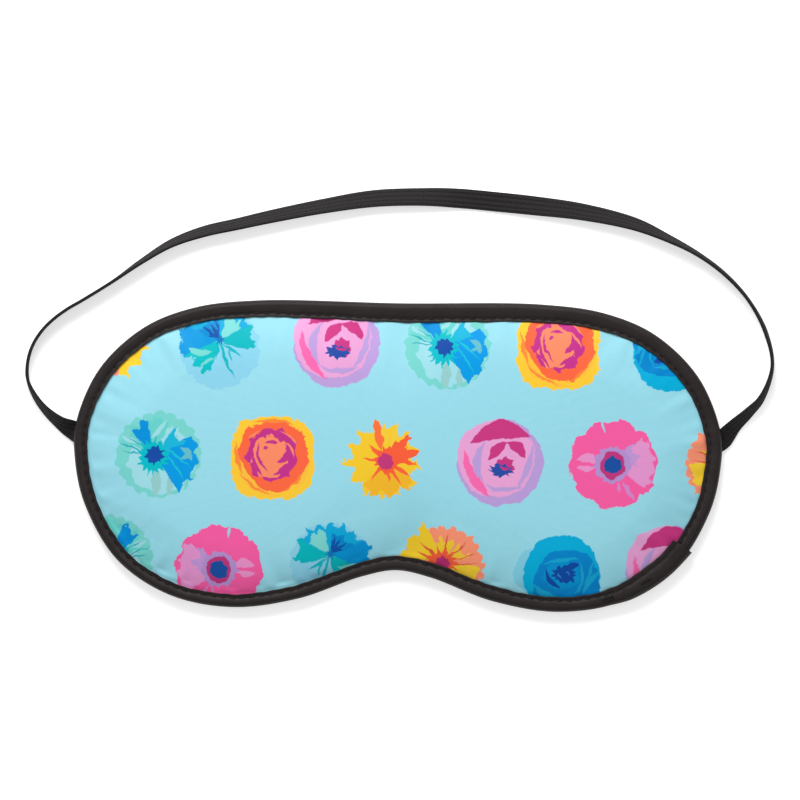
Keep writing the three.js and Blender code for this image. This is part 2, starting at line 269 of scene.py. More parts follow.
class Wiring:
    """A node tree built from a few kinds of call."""

    def node(self, kind, settings, values, output=0):
        """Any node: its settings first, then values or links for its sockets."""
        made = self.tree.nodes.new(kind)
        for key, value in settings.items():
            setattr(made, key, value)
        for key, value in values.items():
            if isinstance(value, Field):
                self.tree.links.new(value.socket, made.inputs[key])
            else:
                made.inputs[key].default_value = value
        return None if output is None else Field(self, made.outputs[output])

    def outputs(self, field):
        """Every output of the node that a field comes from."""
        return [Field(self, socket) for socket in field.socket.node.outputs]

    def mix(self, share, a, b):
        """Colour a where share is 0 and colour b where it is 1."""
        return self.node("ShaderNodeMix", {"data_type": "RGBA"}, {0: share, 6: a, 7: b}, 2)

    def parts(self, vector):
        """The x, y and z of a vector."""
        return self.outputs(self.node("ShaderNodeSeparateXYZ", {}, {0: vector}))

    def joined(self, x, y):
        return self.node("ShaderNodeCombineXYZ", {}, {0: x, 1: y})

    def stretched(self, vector, *scale):
        return self.node("ShaderNodeMapping", {}, {"Vector": vector, "Scale": scale})

    def scaled(self, vector, by):
        return self.node("ShaderNodeVectorMath", {"operation": "SCALE"}, {0: vector, "Scale": by})

    def noise(self, place, scale, detail=2.0, output=0):
        sockets = {"Vector": place, "Scale": scale, "Detail": detail}
        return self.node("ShaderNodeTexNoise", {}, sockets, output)

    def bump(self, height, distance, strength=1.0):
        return self.node("ShaderNodeBump", {}, {"Height": height, "Distance": distance, "Strength": strength})


class Finish(Wiring):
    """A material of one Principled shader. Constants go straight to its sockets."""

    def __init__(self, name, **constants):
        self.material = bpy.data.materials.new(name)
        self.material.use_nodes = True
        self.tree = self.material.node_tree
        self.shader = next(n for n in self.tree.nodes if n.type == "BSDF_PRINCIPLED")
        for socket, value in constants.items():
            self.shader.inputs[socket.replace("_", " ")].default_value = value

    def feed(self, socket, field):
        self.tree.links.new(field.socket, self.shader.inputs[socket])

    def coordinates(self, kind):
        return self.node("ShaderNodeTexCoord", {}, {}, kind)


def srgb(red, green, blue):
    """Linear colour of a display colour given from 0 to 255."""
    linear = [(v / 255 / 12.92) if v <= 10 else ((v / 255 + 0.055) / 1.055) ** 2.4
              for v in (red, green, blue)]
    return (*linear, 1.0)


def knitted_elastic():
    """Black knitted elastic. Ribs run along it, and in each rib the loops sit in a row of
    small slanted dashes, the next rib's slanting the other way. The loops on the rib tops
    are painted lighter as a painted highlight, which leaves the dips between the ribs darker
    as painted shade. Fluff lightens some."""
    finish = Finish("knitted_elastic", Specular_IOR_Level=0.15)
    along, across, _ = finish.parts(finish.coordinates("UV"))
    side = (across * (2 * STRAP_RIBS)).call("PINGPONG", 1.0)
    loops = ((along / STRAP_LOOP + side * 0.35) * (2 * math.pi)).sin() * 0.5 + 0.5
    ridge = (side * math.pi).sin()
    fluff = finish.noise(finish.joined(along * 2600, across * 40), 1.0, 3.0)
    height = ridge * 0.7 + loops * ridge * 0.35 + fluff * 0.6
    # Painted highlight on the loops along the rib tops and painted shade in the dips between ribs; the fluff
    # term is random lightening of the elastic itself.
    painted_highlight_and_fluff = (loops * ridge * 0.4 + fluff * 0.9 - 0.3).clamped()
    finish.feed("Base Color", finish.mix(painted_highlight_and_fluff, srgb(21, 19, 20), srgb(53, 50, 51)))
    finish.feed("Roughness", painted_highlight_and_fluff * -0.12 + 0.84)
    finish.feed("Normal", finish.bump(height, 0.00016, 0.8))
    return finish.material


def strap_section():
    """Closed outline of the elastic's section: along its upper face and back along its
    lower one. Half its thickness falls off towards the rounded edges as the cube root of
    one less the eighth power of the way to the edge, and dips between the ribs."""
    share = np.linspace(-1, 1, STRAP_SECTION_POINTS // 2 + 1)
    wide = np.sin(share * math.pi / 2)
    thick = np.cbrt(1 - wide**8) * (1 - STRAP_RIB_DEPTH * (0.5 + 0.5 * np.cos(share * math.pi * STRAP_RIBS)))
    wide, thick = np.concatenate([wide, wide[-2:0:-1]]), np.concatenate([thick, -thick[-2:0:-1]])
    return wide * STRAP_WIDTH / 2, thick * STRAP_THICKNESS / 2


def strap_mesh(name, centres, roll, along, at):
    """Carries the section along the strap. The width axis tips down on the outer side by
    the roll, and the edges swell a little at each edge stitch."""
    wide, thick = strap_section()
    outward = np.stack([-along[:, 1], along[:, 0], np.zeros(len(along))], 1)
    up = np.array([0.0, 0.0, 1.0])
    lean = np.radians(roll)[:, None]
    width_axis = outward * np.cos(lean) - up * np.sin(lean)
    face_axis = outward * np.sin(lean) + up * np.cos(lean)
    swell = (1 + STRAP_EDGE_SWELL * np.sin(at / STRAP_EDGE_STITCH * 2 * math.pi))[:, None, None]
    points = (centres[:, None] + width_axis[:, None] * wide[None, :, None] * swell
              + face_axis[:, None] * thick[None, :, None])
    step = at[1] - at[0]
    return facing_out(grid_mesh(name, points[None], wrap_columns=True, cap_rows=True,
                                uv=(step, 1 / STRAP_SECTION_POINTS)))


def strap_height(roll):
    """Middle of the elastic above the table: half of what its section spans upright."""
    lean = np.radians(roll)
    return (STRAP_WIDTH * np.sin(lean) + STRAP_THICKNESS * np.cos(lean)) / 2 + STRAP_CLEARANCE


elastic = knitted_elastic()
route, run = along_line(smooth_line(STRAP_ROUTE, False, 40), STRAP_STATIONS)
centres = np.column_stack([route[:, :2], strap_height(route[:, 2])])
tangents = unit(np.gradient(centres * [1, 1, 0], axis=0))
first = int(np.searchsorted(run, HINGE_RUN))
last = STRAP_STATIONS - 1 - first
loop = slice(first, last + 1)
strap = piece("strap", strap_mesh("strap", centres[loop], route[loop, 2], tangents[loop], run[loop]),
              elastic, "knitted_elastic", None, "strap_left_run", "strap_crown", "strap_right_run")
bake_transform(strap)

for name, stations, ending in (("left", np.arange(first, -1, -1), 0),
                               ("right", np.arange(last, STRAP_STATIONS), STRAP_STATIONS - 1)):
    # From the loop towards the mask, then straight on under the binding to the cut end.
    outer, roll, heading = centres[stations], route[stations, 2], tangents[stations]
    inwards = np.array([math.cos(STUB_SLOPE) * (1 if name == "left" else -1), -math.sin(STUB_SLOPE), 0.0])
    steps = np.linspace(0, 1, 18)[1:, None]
    hidden = outer[-1] + inwards * STUB_LENGTH * steps
    hidden[:, 2] = outer[-1][2] + (EXIT_HEIGHT - outer[-1][2]) * np.clip(steps[:, 0] * 3, 0, 1)
    heading = heading if name == "right" else -heading
    path = np.concatenate([outer, hidden])
    rolls = np.concatenate([roll, roll[-1] * (1 - np.clip(steps[:, 0] * 3, 0, 1))])
    travel = np.concatenate([heading, np.repeat(inwards[None], len(hidden), 0)])
    rolls = rolls if name == "right" else -rolls
    length = np.concatenate([[0], np.cumsum(np.linalg.norm(np.diff(path, axis=0), axis=1))])
    end_piece = piece(f"sewn_end_{name}", strap_mesh(f"sewn_end_{name}", path, rolls, travel, length),
                      elastic, "knitted_elastic", None, f"strap_end_{name}")
    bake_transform(end_piece)

# ---------------------------------------------------------------------------------------
# Binding: a satin tape folded round the raw edges and sewn through. It bulges between its
# fold and the seam, dips at each stitch, and its free edge lifts a little.
# ---------------------------------------------------------------------------------------

# Right half of the mask's outline from the nose notch to the brow, as shares of the half
# width and half height, and of the nose rise.
HALF_OUTLINE = [
    (0, -1, 1), (0.105, -1, 0.83), (0.3, -1, 0.245), (0.505, -1, 0), (0.7, -0.925, 0),
    (0.863, -0.7, 0), (0.966, -0.335, 0), (0.997, -0.045, 0), (0.996, 0.175, 0),
    (0.926, 0.535, 0), (0.79, 0.81, 0), (0.635, 0.945, 0), (0.44, 0.998, 0), (0, 0.993, 0),
]
NOSE_RISE = 0.0115
EDGE_SAMPLES = 6000

shares = np.array(HALF_OUTLINE)
half_size = (mask_high - mask_low)[:2] / 2
right_half = np.column_stack([shares[:, 0] * half_size[0],
                              shares[:, 1] * half_size[1] + shares[:, 2] * NOSE_RISE])
left_half = right_half[1:-1][::-1] * [-1, 1]
edge_line = smooth_line(np.concatenate([right_half, left_half]), True, 60)
edge_line = np.concatenate([edge_line, edge_line[:1]])
edge_line += (mask_high + mask_low)[:2] / 2 - (edge_line.max(0) + edge_line.min(0)) / 2
edge_points, edge_run = along_line(edge_line, EDGE_SAMPLES + 1)
EDGE_LENGTH = edge_run[-1]
edge_overlapped = np.concatenate([edge_points[-2:-1], edge_points, edge_points[1:2]])
edge_heading = unit(np.gradient(edge_overlapped, axis=0)[1:-1])


def edge_place(arc, inset):
    """x and y of places on the mask: arc metres anticlockwise round the edge from the nose
    notch, then inset metres inwards, square to the edge."""
    arc = np.mod(arc, EDGE_LENGTH)
    x, y = (np.interp(arc, edge_run, edge_points[:, k]) for k in range(2))
    heading_x, heading_y = (np.interp(arc, edge_run, edge_heading[:, k]) for k in range(2))
    return x - heading_y * inset, y + heading_x * inset


def waves(arc, wavelengths, seed):
    """A sum of sines round the edge, each with a whole number of waves and a random phase
    and size, scaled to lie mostly between -1 and 1."""
    rng = np.random.default_rng(seed)
    total = np.zeros_like(arc)
    for wavelength in wavelengths:
        count = round(EDGE_LENGTH / wavelength)
        total += rng.uniform(0.5, 1.0) * np.sin(2 * math.pi * (count * arc / EDGE_LENGTH + rng.random()))
    return total / math.sqrt(len(wavelengths))


TAPE_THICKNESS = 0.00045
STITCH_PITCH = 0.003
SEAM_FROM_EDGE = 0.00105
BACK_LEG_WIDTH = 0.0056
LEG_MEAN = 0.00465
LEG_MORE_RIGHT = 0.00035
LEG_MORE_BROW = 0.00068
LEG_LESS_SIDES = 0.0003
LEG_UNEVEN = 0.00013
BULGE_HEIGHT = 0.00034
EDGE_LIFT = 0.00016
DIP_WIDTH = 0.00042
DIP_DEPTH = 0.00026
binding_bottom, binding_top = mask_low[2], mask_high[2]
FOLD_RADIUS = (binding_top - binding_bottom) / 2
FOLD_MIDDLE = (binding_top + binding_bottom) / 2
STITCHES = round(EDGE_LENGTH / STITCH_PITCH)
stitch_step = EDGE_LENGTH / STITCHES


def leg_width(arc):
    """Visible width of the binding's front leg: widest along the brow, narrower at the
    sides and under the eyes."""
    x, y = edge_place(arc, 0.0)
    bearing = np.arctan2(y, x)
    width = (LEG_MEAN + LEG_MORE_RIGHT * np.cos(bearing) + LEG_MORE_BROW * np.sin(bearing)
             - LEG_LESS_SIDES * np.cos(2 * bearing))
    return width + LEG_UNEVEN * waves(arc, (0.031, 0.017, 0.0083, 0.0047), 3)


def tape_surface(arc, distance, leg, seam, depth):
    """Section of a tape folded round the edge, as insets and heights over the grid of arc
    by section points. It runs in along the back leg, round the fold and out along the front
    leg; distance is how far it lies outside the binding's own fold. On top of the plain
    section come the bulge, the dips at the stitches and the lifted free edge."""
    leg_share = np.linspace(1, 0, 15)[None, :-1]
    fold_angle = np.linspace(-0.5, 0.5, 13)[None, :] * math.pi
    radius = FOLD_RADIUS + distance
    ones = np.ones_like(arc)
    back = FOLD_RADIUS + (BACK_LEG_WIDTH - FOLD_RADIUS) * leg_share * ones
    front = FOLD_RADIUS + (leg - FOLD_RADIUS) * leg_share[:, ::-1]
    inset = np.concatenate([back, FOLD_RADIUS - radius * np.cos(fold_angle) * ones, front], 1)
    height = np.concatenate([(FOLD_MIDDLE - radius) * np.ones_like(back),
                             FOLD_MIDDLE + radius * np.sin(fold_angle) * ones,
                             (FOLD_MIDDLE + radius) * np.ones_like(front)], 1)
    side = np.sign(height - FOLD_MIDDLE)
    on_leg = np.abs(height - FOLD_MIDDLE) / radius
    seam_inset = np.where(side > 0, seam, BACK_LEG_WIDTH - SEAM_FROM_EDGE)
    share = np.clip(inset / seam_inset, 0, 1)
    at_stitch = 0.5 + 0.5 * np.cos(2 * math.pi * arc / stitch_step)
    dip = np.exp(-(((inset - seam_inset) / DIP_WIDTH) ** 2)) * (0.55 + 0.45 * at_stitch)
    bulge = np.sin(math.pi * share ** 0.85) * (0.8 + 0.25 * waves(arc, (0.023, 0.0093), 5)
                                              - 0.14 * at_stitch * share)
    past_seam = np.clip((inset - seam_inset) / SEAM_FROM_EDGE, 0, 1)
    lift = past_seam * (0.45 + 0.3 * waves(arc, (0.006, 0.0041), 7))
    puff = BULGE_HEIGHT * bulge - depth * dip + EDGE_LIFT * lift
    return inset, height + side * puff * on_leg


def tape_mesh(name, arc, distance, leg, seam, depth, closed):
    """The folded tape at its real thickness: its outer face, then back along its inner
    face, which lies a thickness inside, square to the outer one, and less at the free
    edges, which are rounded."""
    inset, height = tape_surface(arc, distance, leg, seam, depth)
    along = unit(np.stack([np.gradient(inset, axis=1), np.gradient(height, axis=1)], -1))
    inwards = np.stack([along[..., 1], -along[..., 0]], -1)
    thickness = np.full(inset.shape[1], TAPE_THICKNESS)
    thickness[[0, -1]] *= 0.45
    outer = np.stack([inset, height], -1)
    section = np.concatenate([outer, (outer + inwards * thickness[:, None])[:, ::-1]], 1)
    x, y = edge_place(arc, section[..., 0])
    points = np.stack([x, y, section[..., 1]], -1)
    step = (arc[1, 0] - arc[0, 0]) / MM
    return facing_out(grid_mesh(name, points[None], wrap_rows=closed, wrap_columns=True, cap_rows=not closed,
                                uv=(step, 0.45)))


def satin_tape():
    """Black-brown satin tape. Fine cords run across it, the cloth's floats catch light
    unevenly along it, which the colour carries as a painted sheen, and dust and wear lighten
    it in soft patches."""
    finish = Finish("binding_satin", Specular_IOR_Level=0.14)
    along, across, _ = finish.parts(finish.coordinates("UV"))
    cords = (along * (2 * math.pi / 0.34)).sin() * 0.5 + 0.5
    threads = finish.noise(finish.joined(along * 5.0, across * 0.9), 1.0, 3.0)
    patches = finish.noise(finish.coordinates("Object"), 140.0, 3.0)
    # Painted sheen from the threads, plus real dust and wear in soft patches.
    dust_and_sheen = (threads * 0.5 + patches * 0.6).clamped()
    finish.feed("Base Color", finish.mix(dust_and_sheen, srgb(24, 20, 20), srgb(46, 39, 39)))
    finish.feed("Roughness", threads * 0.2 + 0.4)
    finish.feed("Normal", finish.bump(cords * 0.25 + threads * 0.75, 0.00009, 0.8))
    return finish.material


binding_finish = satin_tape()
TAPE_STEPS = STITCHES * 7
tape_arc = (np.arange(TAPE_STEPS) * EDGE_LENGTH / TAPE_STEPS)[:, None]
tape_leg = leg_width(tape_arc)
tape = tape_mesh("binding", tape_arc, 0.0, tape_leg, tape_leg - SEAM_FROM_EDGE, DIP_DEPTH, True)
piece("binding", tape, binding_finish, "binding_satin", "mask", "binding_tape")

# The end of the tape laps over its start at the lower right. The doubled tape is wider and
# prouder towards its cut end, whose corner stands out past the edge.
LAP_FROM, LAP_LENGTH = 0.0615, 0.032
LAP_RISE = 0.00055
LAP_END_RISE = 0.0004
LAP_WIDER = 0.0014
LAP_SEAM_FARTHER_IN = 0.0006
LAP_DIP_DEPTH = 0.00022
lap_arc = np.linspace(LAP_FROM, LAP_FROM + LAP_LENGTH, 120)[:, None]
lap_share = (lap_arc - LAP_FROM) / LAP_LENGTH
lap_end = np.clip((lap_share - 0.8) / 0.2, 0, 1)
lap_proud = LAP_RISE * (np.clip(lap_share / 0.3, 0, 1) * 1.6 - 0.6)
lap_leg = leg_width(lap_arc) + LAP_WIDER * np.clip(lap_share / 0.5, 0, 1)
lap = tape_mesh("binding_end", lap_arc, lap_proud + LAP_END_RISE * lap_end ** 2, lap_leg,
                lap_leg - SEAM_FROM_EDGE - LAP_SEAM_FARTHER_IN, LAP_DIP_DEPTH, False)
piece("binding_end", lap, binding_finish, "binding_satin", "mask", "binding_lap")

# ---------------------------------------------------------------------------------------
# Printed front: polyester satin with large flowers printed on pale blue, cut to the mask's
# outline, padded from behind and caught in the seam, which gathers it into small puckers.
# ---------------------------------------------------------------------------------------

RIM_INSET = 0.0016
INNER_INSET = 0.018
SEAM_INSET = 0.0046
POLE_Y = 0.002
FRONT_THICKNESS = 0.0003
FRONT_RISE = 0.0023
FRONT_SHOULDER = 0.017
FRONT_CROWN = 0.0007
FRONT_PUCKER = 0.00026
FRONT_PUCKER_REACH = 0.0042
FRONT_CREASE = 0.0005
FRONT_UNEVEN = 0.00007
GROOVE_DEPTH = 0.0001
GROOVE_WIDTH = 0.0006
GROOVE_OUTSIDE_SEAM = 0.0008
DYE_DEPTH = 0.8
SOLVER_SCALE = 20
TRIAL_GRID = (150, 13, 7)  # turns, rings, middle rings
FRONT_GRID = (4 * TRIAL_GRID[0], 46, 26)
SETTLING_FRAMES = 16
SETTLING_CAP = 0.0008
GATHER = 0.05
GATHER_REACH = 0.012
PADDING_PRESSURE = 0.6
front_edge = binding_top - TAPE_THICKNESS - 0.00015


def ply_grid(turns, rings, middle_rings):
    """Grid over the mask's outline: arcs round the edge by rings. The rings keep square to
    the edge down to the inner inset, and from there shrink towards a pole. Gives arc,
    inset, share of the way left to the pole, x and y."""
    arc = (np.arange(turns) * EDGE_LENGTH / turns)[:, None]
    inset = np.concatenate([np.linspace(RIM_INSET, INNER_INSET, rings),
                            np.full(middle_rings, INNER_INSET)])[None]
    share = np.concatenate([np.ones(rings), np.linspace(1, 0, middle_rings + 2)[1:-1]])[None]
    arc = arc * np.ones_like(inset)
    x, y = edge_place(arc, inset * np.ones_like(arc))
    return arc, inset, share, x * share, POLE_Y + (y - POLE_Y) * share


def creases(x, y, count, seed, width, length):
    """Soft folds that run in from the edge: each is a ridge with the section of a bell,
    along a straight line, highest at the edge and gone after its length."""
    rng = np.random.default_rng(seed)
    total = np.zeros_like(x)
    for start in np.arange(count) + rng.random(count) * 0.8:
        foot = np.array(edge_place(start * EDGE_LENGTH / count, SEAM_INSET))
        turn = rng.normal(0, 0.45)
        inner = np.array(edge_place(start * EDGE_LENGTH / count, SEAM_INSET + 0.001)) - foot
        inner = unit(inner)
        run_in = np.array([inner[0] * math.cos(turn) - inner[1] * math.sin(turn),
                           inner[0] * math.sin(turn) + inner[1] * math.cos(turn)])
        in_reach = (x - foot[0]) * run_in[0] + (y - foot[1]) * run_in[1]
        off_line = (x - foot[0]) * run_in[1] - (y - foot[1]) * run_in[0]
        spread = width * rng.uniform(0.7, 1.4) + np.clip(in_reach, 0, None) * 0.12
        fade = np.clip(1 - np.abs(in_reach) / (length * rng.uniform(0.6, 1.2)), 0, 1) ** 1.5
        total += rng.uniform(-1, 1) * np.exp(-((off_line / spread) ** 2)) * fade
    return total


def front_height(arc, inset, share, x, y):
    """Height of the front: flat under the binding, a rounded shoulder from the seam, and a
    slight crown towards the pole. Puckers start at the seam and die out inwards, and soft
    creases and a slow unevenness run on over the padding."""
    shoulder = np.sin(math.pi / 2 * np.clip((inset - SEAM_INSET + 0.0004) / FRONT_SHOULDER, 0, 1))
    inside = np.clip((inset - SEAM_INSET) / 0.0012, 0, 1)
    fade = np.exp(-np.clip(inset - SEAM_INSET, 0, None) / FRONT_PUCKER_REACH)
    pucker = waves(arc, (0.0113, 0.0078, 0.0049), 11) * fade
    slow = (np.sin(x / 0.0072 + 1.3) * np.sin(y / 0.0095 + 0.4) + np.sin((x + y) / 0.0131)) * FRONT_UNEVEN
    groove = np.exp(-(((inset - SEAM_INSET + GROOVE_OUTSIDE_SEAM) / GROOVE_WIDTH) ** 2)) * GROOVE_DEPTH
    crease = FRONT_CREASE * creases(x, y, 24, 21, 0.0026, 0.026)
    return (front_edge + FRONT_RISE * shoulder + FRONT_CROWN * (1 - share ** 2) - groove
            + inside * (FRONT_PUCKER * pucker * share + slow + crease))


def dye(red, green, blue):
    """Linear colour of a printed dye, given as it looks under the bright studio light."""
    return (*(DYE_DEPTH * v for v in srgb(red, green, blue)[:3]), 1.0)


class Flower(Wiring):
    """One printed flower, painted in a node group of its own: x and y from its middle in
    millimetres, and the colour built up so far. Its masks are 1 inside a shape and 0
    outside it."""

    def __init__(self, name, places):
        """Takes the nearest of the places, each x, y and the signs of its mirrorings."""
        self.tree = bpy.data.node_groups.new(name, "ShaderNodeTree")
        for socket, kind in (("x", "Float"), ("y", "Float"), ("grain", "Float"), ("under", "Color")):
            self.tree.interface.new_socket(socket, in_out="INPUT", socket_type="NodeSocket" + kind)
        self.tree.interface.new_socket("colour", in_out="OUTPUT", socket_type="NodeSocketColor")
        x, y, self.grain, self.colour, _ = self.outputs(self.node("NodeGroupInput", {}, {}))
        for number, (across, up, *flips) in enumerate(places):
            flip_x, flip_y = flips or (1, 1)
            here_x, here_y = (x - across) * flip_x, (y - up) * flip_y
            here = here_x * here_x + here_y * here_y
            if number:
                nearer = here < nearest
                here_x = self.x + (here_x - self.x) * nearer
                here_y = self.y + (here_y - self.y) * nearer
                here = nearest.call("MINIMUM", here)
            self.x, self.y, nearest = here_x, here_y, here
        self.around, self.bites = {}, {}
        self.distance, self.bearing = self.polar()

    def polar(self, across=0, up=0, wide=1, high=1):
        """Distance and bearing from a point, across and up from the middle, in an oval
        that many times as wide and high."""
        oval = across, up, wide, high
        if oval not in self.around:
            x = (self.x - across) / wide if across or wide != 1 else self.x
            y = (self.y - up) / high if up or high != 1 else self.y
            self.around[oval] = (x * x + y * y) ** 0.5, y.call("ARCTAN2", x)
        return self.around[oval]

    def disc(self, radius, teeth=0, depth=0.0, across=0, up=0, wide=1, high=1):
        """A disc or oval, whose rim has teeth of uneven depth."""
        distance, bearing = self.polar(across, up, wide, high)
        if teeth:
            key = teeth, across, up, wide, high
            if key not in self.bites:
                bite = abs((bearing * (teeth / 2) + self.grain * 2).sin())
                nick = abs((bearing * (round(teeth * 1.62) / 2) + self.grain * 7).sin())
                self.bites[key] = bite * 0.7 + nick * 0.3
            distance = distance + self.bites[key] * depth
        return (distance * -4 + (4 * radius + 0.5)).clamped()

    def block(self, radius):
        """A square with much rounded corners and uneven sides."""
        reach = (abs(self.x) ** 3.2 + abs(self.y) ** 3.2) ** (1 / 3.2)
        return ((radius + (self.grain - 0.5) * 2.4 - reach) * 4 + 0.5).clamped()

    def wedge(self, middle, half):
        """Everything whose bearing is within half of the middle, in degrees."""
        half = math.radians(half)
        off = (self.bearing - math.radians(middle)).cos() - math.cos(half)
        return (off * self.distance * (4 / math.sin(half)) + 0.5).clamped()

    def stroke(self, x0, y0, x1, y1, width, bend=0.0):
        """One brush stroke, pointed at both ends: its half width and its sideways bend both
        follow 4 t (1 - t) from its start to its end."""
        span_x, span_y = x1 - x0, y1 - y0
        length = math.hypot(span_x, span_y)
        t = self.x * (span_x / length**2) + self.y * (span_y / length**2)
        t = t - (x0 * span_x + y0 * span_y) / length**2
        across = self.x * (-span_y / length) + self.y * (span_x / length)
        across = across + (x0 * span_y - y0 * span_x) / length
        hump = t * (4 - t * 4)
        return ((hump * width - abs(across - hump * bend)) * 4 + 0.5).clamped()

    def paint(self, mask, colour):
        """Paints over what lies inside the mask."""
        self.colour = self.mix(mask, self.colour, dye(*colour))

    def petals(self, colour, *rim, wedge=None):
        """Paints a ring of petals, or only those whose bearing is in the wedge."""
        mask = self.disc(*rim)
        self.paint(mask * self.wedge(*wedge) if wedge else mask, colour)

    def brush(self, colour, *strokes):
        """Paints several brush strokes at once."""
        together = self.stroke(*strokes[0])
        for one in strokes[1:]:
            together = together.call("MAXIMUM", self.stroke(*one))
        self.paint(together, colour)


def salmon_aster(flower):
    """Salmon petals with notched tips, yellow ones on one side, red rays, magenta eye."""
    flower.petals((255, 152, 118), 10.8, 24, -1.5, 0.2, -1.0)
    flower.petals((247, 208, 48), 13.8, 14, 3.2, wedge=(142, 29))
    flower.petals((244, 206, 52), 8.8, 14, 3.0, wedge=(86, 26))
    flower.petals((246, 200, 60), 8.6, 12, 2.8, wedge=(34, 20))
    flower.petals((250, 211, 56), 11.8, 14, 1.6, wedge=(-28, 24))
    flower.petals((252, 170, 70), 10.0, 14, 2.4, wedge=(206, 26))
    flower.brush((224, 84, 60), (0, 0, -7.6, 3.8, 0.5, 0.5), (-1, 1, -6.8, 6.2, 0.3, -0.4),
                 (0, 0, 1.2, 9.2, 0.22), (0, 0, 9.6, 3.2, 0.2), (1, -1, 10.4, 0.2, 0.2),
                 (0, 0, 7.0, 6.6, 0.24))
    flower.petals((250, 98, 60), 5.6, 13, 2.6, -0.4, 0.4, 1.15, 0.85)
    flower.petals((192, 50, 118), 2.5, 7, 0.7)


def teal_cornflower(flower):
    """Cyan-blue petals, teal on one side, mint and pale ones, and a spiky navy wedge."""
    flower.petals((140, 212, 236), 11.0, 18, -1.0, 0.0, -2.4)
    flower.petals((10, 172, 222), 12.2, 19, 2.4, 0.0, -2.0, wedge=(78, 82))
    flower.petals((0, 152, 220), 12.4, 15, 1.8, 0.4, -1.0, wedge=(-2, 26))
    flower.petals((0, 184, 192), 11.2, 13, 2.4, wedge=(176, 23))
    flower.petals((0, 190, 196), 12.2, 19, 3.6, wedge=(-49, 25))
    flower.brush((120, 214, 208), (2.2, -3.4, 9.0, -2.6, 1.0, -0.8), (1.6, -5.4, 5.8, -7.6, 0.5, 0.3))
    flower.petals((128, 218, 214), 9.0, 15, 2.4, wedge=(127, 24))
    flower.petals((0, 140, 208), 7.6, 11, 2.0, wedge=(52, 34))
    flower.petals((12, 84, 168), 6.8, 17, 4.2, wedge=(50, 32))
    flower.brush((10, 182, 196), (0, 0, -4.4, -11.0, 0.42, 0.5), (-0.6, -0.6, -6.6, -4.6, 0.4, 0.3),
                 (-2.6, -2.0, -3.6, -6.2, 0.3), (-0.5, 0, -1.6, -7.0, 0.5), (0.4, 0, 1.2, -5.4, 0.5),
                 (0, 0, -8.4, -2.0, 0.35, 0.5))
    flower.petals((10, 120, 190), 1.9, 9, 1.2)


def lilac_rose(flower):
    """A pink rose with a lilac rim, magenta inner petals and a navy heart."""
    flower.petals((190, 160, 221), 12.2, 6, -0.6)
    flower.petals((236, 166, 217), 10.9, 5, -0.7, -1.3, 1.3)
    flower.brush((252, 108, 178), (-10.4, 3.6, -2.6, -10.2, 1.35, -1.9))
    flower.brush((190, 160, 221), (-4.0, 6.6, -4.8, -6.4, 1.1, -2.6), (9.2, 6.0, 4.6, -7.4, 0.9, 1.4),
                 (-4.8, -6.4, 6.4, -6.6, 0.8, -1.4))
    flower.brush((205, 58, 132), (-3.6, 0.6, 1.9, 6.0, 1.5, 0.5), (1.5, 6.2, 7.4, 1.4, 1.6, 1.1),
                 (-8.8, 5.6, 8.6, 7.8, 2.9, 3.0))
    flower.brush((233, 164, 214), (1.6, 5.6, 4.4, 1.0, 0.9, -0.3))
    flower.petals((202, 56, 132), 3.2, 7, 0.9, 1.4, -1.0)
    flower.petals((40, 78, 166), 3.6, 9, 1.3, 0.2, -2.3, 1.15, 0.66)
    flower.brush((202, 56, 132), (-0.4, -1.0, 2.8, -1.6, 0.5, -0.4))


def mint_poppy(flower):
    """Mint petals round a pale middle, two blue ones, a teal star and a navy eye."""
    flower.petals((122, 214, 208), 11.7, 21, -1.1, 1.0, 0.2)
    flower.petals((160, 223, 233), 10.6, 9, 1.3, 2.0, -1.2)
    flower.petals((104, 211, 205), 11.6, 15, 2.4, 0.6, 0.6, wedge=(112, 46))
    flower.brush((158, 222, 230), (-1.6, 4.6, 3.2, 10.6, 0.8, -0.3), (-5.0, 3.6, -9.6, 5.8, 0.9, 0.3))
    flower.brush((150, 206, 205), (0.6, -3.6, 0.4, -12.4, 1.4), (4.2, -5.6, 4.6, -12.0, 0.9))
    flower.brush((30, 174, 186), (-3.6, 1.0, -10.4, 3.6, 0.24), (-3.6, 0.4, -9.4, 1.0, 0.2),
                 (-2.8, 2.2, -8.8, 5.6, 0.18))
    flower.petals((0, 146, 222), 11.6, 12, 3.0, wedge=(120, 17))
    flower.petals((0, 156, 230), 13.4, 15, 1.8, wedge=(-14, 43))
    flower.petals((24, 184, 220), 10.6, 11, 3.0, wedge=(40, 17))
    flower.brush((24, 196, 214), (2.6, 2.4, 10.4, -3.6, 0.3, 0.4), (3.0, 0.6, 8.6, -7.2, 0.3, 0.4))
    flower.brush((104, 190, 204), (7.2, 2.4, 10.6, -1.6, 0.9, 0.9), (7.6, -0.8, 11.0, 0.4, 0.5))
    flower.petals((0, 190, 202), 5.9, 17, 2.4, -0.4, -0.4, 0.92, 1.08)
    flower.petals((18, 76, 166), 3.1, 9, 1.0)


